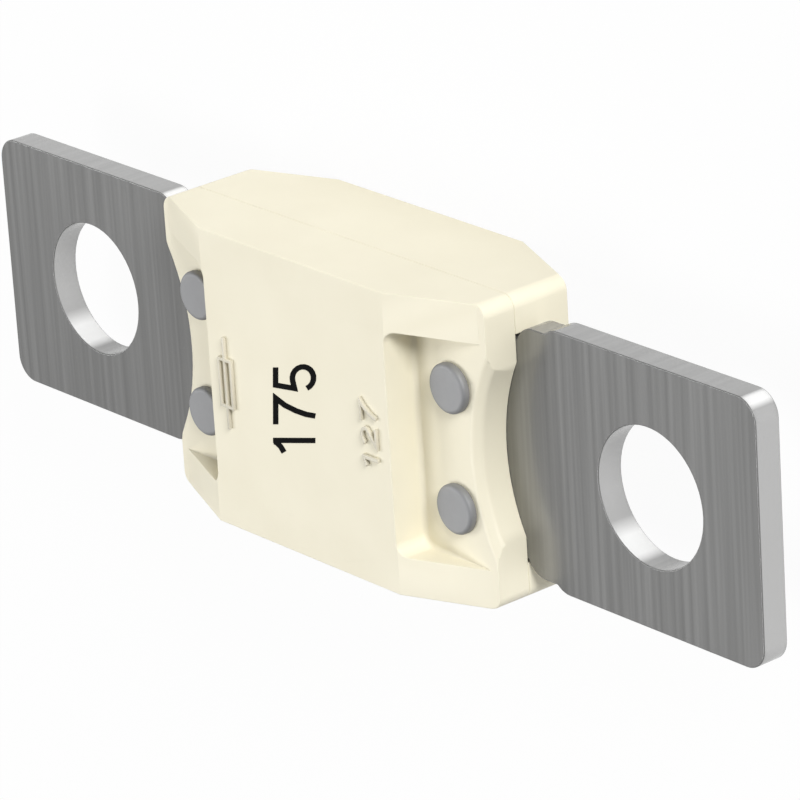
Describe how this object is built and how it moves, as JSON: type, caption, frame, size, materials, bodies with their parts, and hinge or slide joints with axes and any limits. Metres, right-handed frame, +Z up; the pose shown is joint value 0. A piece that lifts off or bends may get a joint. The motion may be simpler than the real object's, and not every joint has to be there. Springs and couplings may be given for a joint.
{
  "type": "bolt down strip fuse",
  "caption": "Flat metal strip with a stud hole in each blade, held in a riveted two-part insulating housing around its fusible link; bolts across two studs to protect a cable.",
  "frame": {"origin": "middle of the underside of the housing", "axes": "+X along the strip through both stud holes, +Z up along the stud axes towards the numbered face"},
  "size_m": [0.0688, 0.019, 0.011],
  "materials": {
    "strip_metal": "bright plated strip, drawn grain across the blades",
    "housing_plastic": "ivory moulded plastic, satin",
    "rivet_metal": "plain grey metal, satin"
  },
  "bodies": {
    "root": {"fuse_strip": "strip_metal", "upper_housing": "housing_plastic", "lower_housing": "housing_plastic", "rivets": "rivet_metal"}
  },
  "joints": []
}
